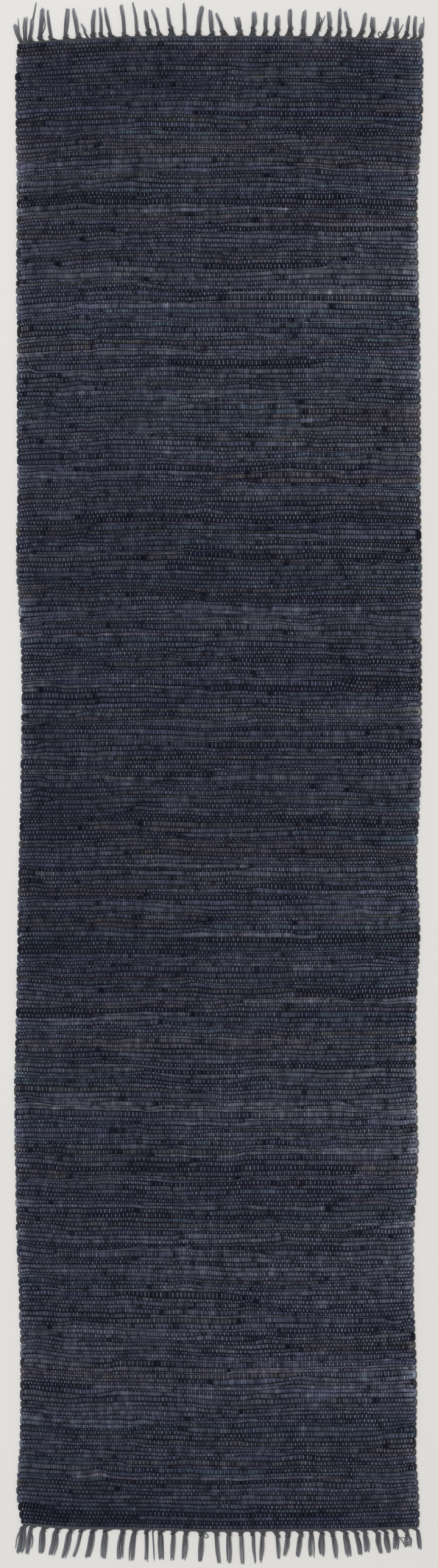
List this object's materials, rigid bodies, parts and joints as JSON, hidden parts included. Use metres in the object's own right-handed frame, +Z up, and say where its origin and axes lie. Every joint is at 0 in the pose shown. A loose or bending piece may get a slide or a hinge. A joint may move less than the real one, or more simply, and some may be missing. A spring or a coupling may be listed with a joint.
{
  "type": "rag rug",
  "caption": "Flat handwoven runner rug of dark navy rag strips on grey-blue warp, with knotted warp fringes along both ends.",
  "frame": {"origin": "middle of the rug's box, on the floor", "axes": "+Y along the rug's length towards the picture's upper end, +X across it towards the picture's right, +Z up from the floor"},
  "size_m": [0.6894, 2.6196, 0.005],
  "materials": {
    "navy_rag": "matte woven cotton rag strips",
    "grey_warp": "matte twisted cotton yarn"
  },
  "bodies": {
    "root": {"woven_field": "navy_rag", "fringe_top": "grey_warp", "fringe_bottom": "grey_warp"}
  },
  "joints": []
}
